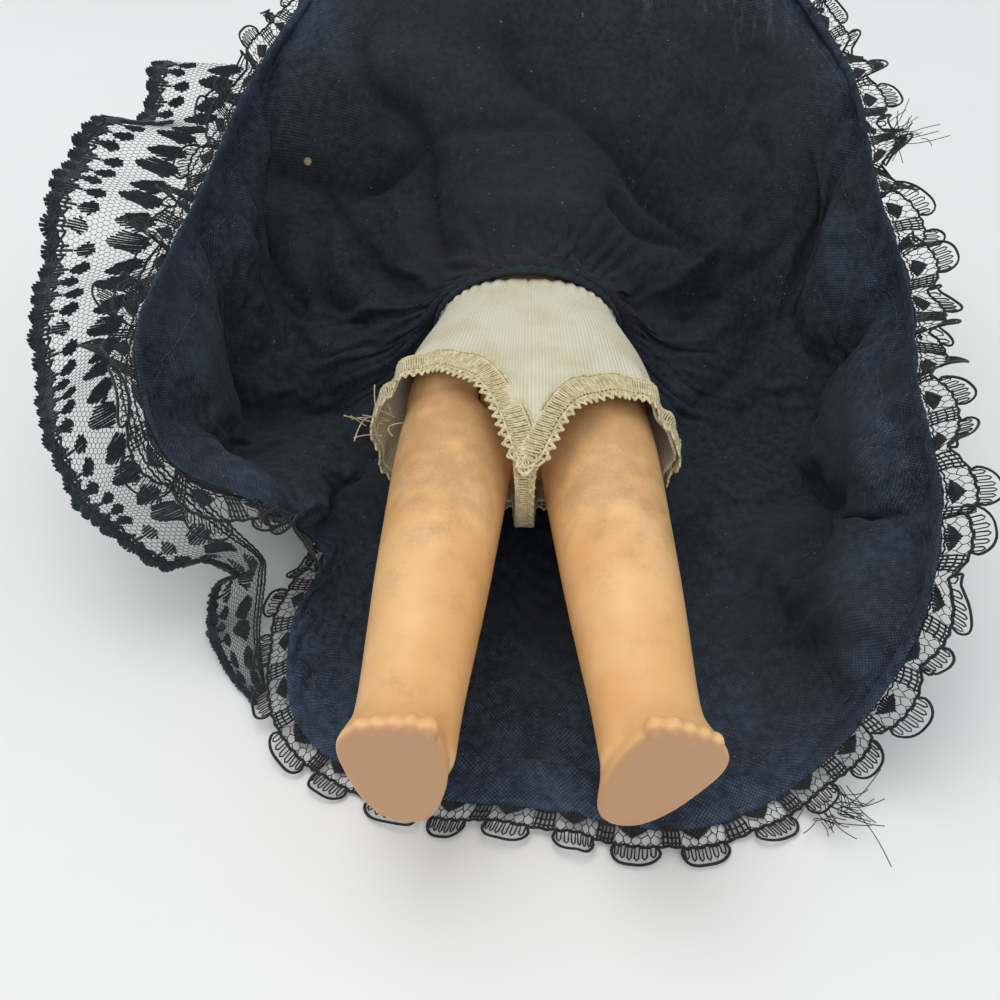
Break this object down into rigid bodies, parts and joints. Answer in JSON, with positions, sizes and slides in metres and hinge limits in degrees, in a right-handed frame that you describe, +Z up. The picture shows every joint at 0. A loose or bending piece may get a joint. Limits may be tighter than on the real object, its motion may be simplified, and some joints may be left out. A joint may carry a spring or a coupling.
{
  "type": "spanish dancer doll",
  "caption": "Hard-plastic costume doll lying on its back in a black dancer's dress, skirt thrown open over the body; head, sleeping eyes, arms and legs turn.",
  "frame": {"origin": "on the table, on the flat underside of the skirt that the doll lies on, below its crotch", "axes": "+Z up off the table; +Y along the body towards the head; +X towards the doll's own left side"},
  "size_m": [0.1656, 0.1967, 0.0963],
  "materials": {
    "flesh_plastic": "satin moulded plastic, rubbed grey at thighs and knees",
    "eye_plastic": "glossy, lid painted like the skin",
    "black_voile": "thin plain-weave voile",
    "black_lace": "machine lace",
    "cream_knit": "fine ribbed cotton knit",
    "cream_lace": "yellowed loop lace",
    "hair": "combed wig fibre",
    "steel_wire": "bent wire and strip",
    "press_stud": "pressed metal",
    "eye_weight": "cast counterweight",
    "elastic": "covered elastic cord and tape"
  },
  "bodies": {
    "body": {"torso_front": "flesh_plastic", "torso_back": "flesh_plastic", "arm_elastic": "elastic", "body_elastic": "elastic", "bodice": "black_voile", "back_snap_upper": "press_stud", "back_snap_lower": "press_stud", "waistband": "black_voile", "knickers": "cream_knit", "knickers_elastic": "elastic", "leg_lace_left": "cream_lace", "leg_lace_right": "cream_lace", "skirt": "black_voile", "hem_lace": "black_lace", "lace_flounce": "black_lace"},
    "head": {"head_front": "flesh_plastic", "head_back": "flesh_plastic", "head_hook": "steel_wire", "wig": "hair", "hair_bun": "hair", "eye_bracket": "steel_wire"},
    "eyes": {"eye_left": "eye_plastic", "eye_right": "eye_plastic", "eye_rocker": "steel_wire", "eye_weight": "eye_weight"},
    "left_leg": {"leg_left": "flesh_plastic", "leg_hook_left": "steel_wire"},
    "right_leg": {"leg_right": "flesh_plastic", "leg_hook_right": "steel_wire"},
    "left_arm": {"arm_left": "flesh_plastic", "arm_hook_left": "steel_wire"},
    "right_arm": {"arm_right": "flesh_plastic", "arm_hook_right": "steel_wire"}
  },
  "joints": [
    {"name": "neck_turn", "type": "hinge", "parent": "body", "child": "head", "pos_m": [0, 0.0883, 0.022], "axis": [0, 1, 0], "range_deg": [-75, 75], "deforming": ["body_elastic"]},
    {"name": "eyes_open", "type": "hinge", "parent": "head", "child": "eyes", "pos_m": [0, 0.1082, 0.0326], "axis": [-1, 0, 0], "range_deg": [0, 62]},
    {"name": "left_hip", "type": "hinge", "parent": "body", "child": "left_leg", "pos_m": [0.0115, 0.017, 0.022], "axis": [-1, 0, 0], "range_deg": [-5, 85], "deforming": ["knickers", "leg_lace_left", "body_elastic"]},
    {"name": "right_hip", "type": "hinge", "parent": "body", "child": "right_leg", "pos_m": [-0.0115, 0.017, 0.022], "axis": [-1, 0, 0], "range_deg": [-5, 85], "deforming": ["knickers", "leg_lace_right", "body_elastic"]},
    {"name": "left_shoulder", "type": "hinge", "parent": "body", "child": "left_arm", "pos_m": [0.0143, 0.076, 0.022], "axis": [1, 0, 0], "range_deg": [-30, 30], "deforming": ["arm_elastic"]},
    {"name": "right_shoulder", "type": "hinge", "parent": "body", "child": "right_arm", "pos_m": [-0.0143, 0.076, 0.022], "axis": [1, 0, 0], "range_deg": [-30, 30], "deforming": ["arm_elastic"]}
  ]
}
